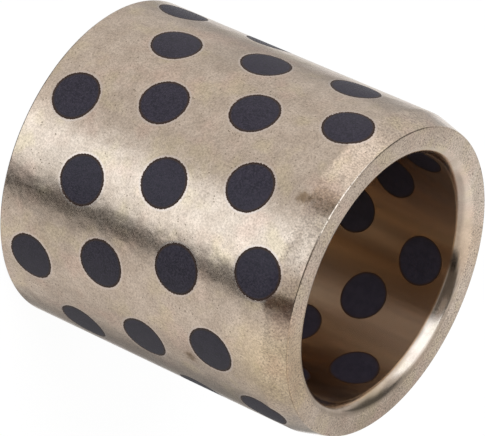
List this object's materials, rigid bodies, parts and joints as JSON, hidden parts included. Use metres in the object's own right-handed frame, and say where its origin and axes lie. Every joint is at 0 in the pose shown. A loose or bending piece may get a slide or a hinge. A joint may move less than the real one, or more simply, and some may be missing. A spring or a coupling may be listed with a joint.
{
  "type": "graphite plugged bushing",
  "caption": "Plain bronze sleeve bushing with rings of graphite plugs set flush through its wall, a lead-in taper at one end and rounded bore ends.",
  "frame": {"origin": "centre of the plain end face, on the bore's axis", "axes": "+Z along the bore's axis, from the plain end up to the tapered end; the bushing stands on its plain end"},
  "size_m": [0.065, 0.065, 0.068],
  "materials": {
    "bronze": "satin turned and tumbled bronze",
    "graphite": "matt graphite, ground flush"
  },
  "bodies": {
    "root": {"sleeve": "bronze", "plug_1_1": "graphite", "plug_1_2": "graphite", "plug_1_3": "graphite", "plug_1_4": "graphite", "plug_1_5": "graphite", "plug_1_6": "graphite", "plug_2_1": "graphite", "plug_2_2": "graphite", "plug_2_3": "graphite", "plug_2_4": "graphite", "plug_2_5": "graphite", "plug_2_6": "graphite", "plug_3_1": "graphite", "plug_3_2": "graphite", "plug_3_3": "graphite", "plug_3_4": "graphite", "plug_3_5": "graphite", "plug_3_6": "graphite", "plug_4_1": "graphite", "plug_4_2": "graphite", "plug_4_3": "graphite", "plug_4_4": "graphite", "plug_4_5": "graphite", "plug_4_6": "graphite", "plug_5_1": "graphite", "plug_5_2": "graphite", "plug_5_3": "graphite", "plug_5_4": "graphite", "plug_5_5": "graphite", "plug_5_6": "graphite", "plug_6_1": "graphite", "plug_6_2": "graphite", "plug_6_3": "graphite", "plug_6_4": "graphite", "plug_6_5": "graphite", "plug_6_6": "graphite", "plug_7_1": "graphite", "plug_7_2": "graphite", "plug_7_3": "graphite", "plug_7_4": "graphite", "plug_7_5": "graphite", "plug_7_6": "graphite"}
  },
  "joints": []
}
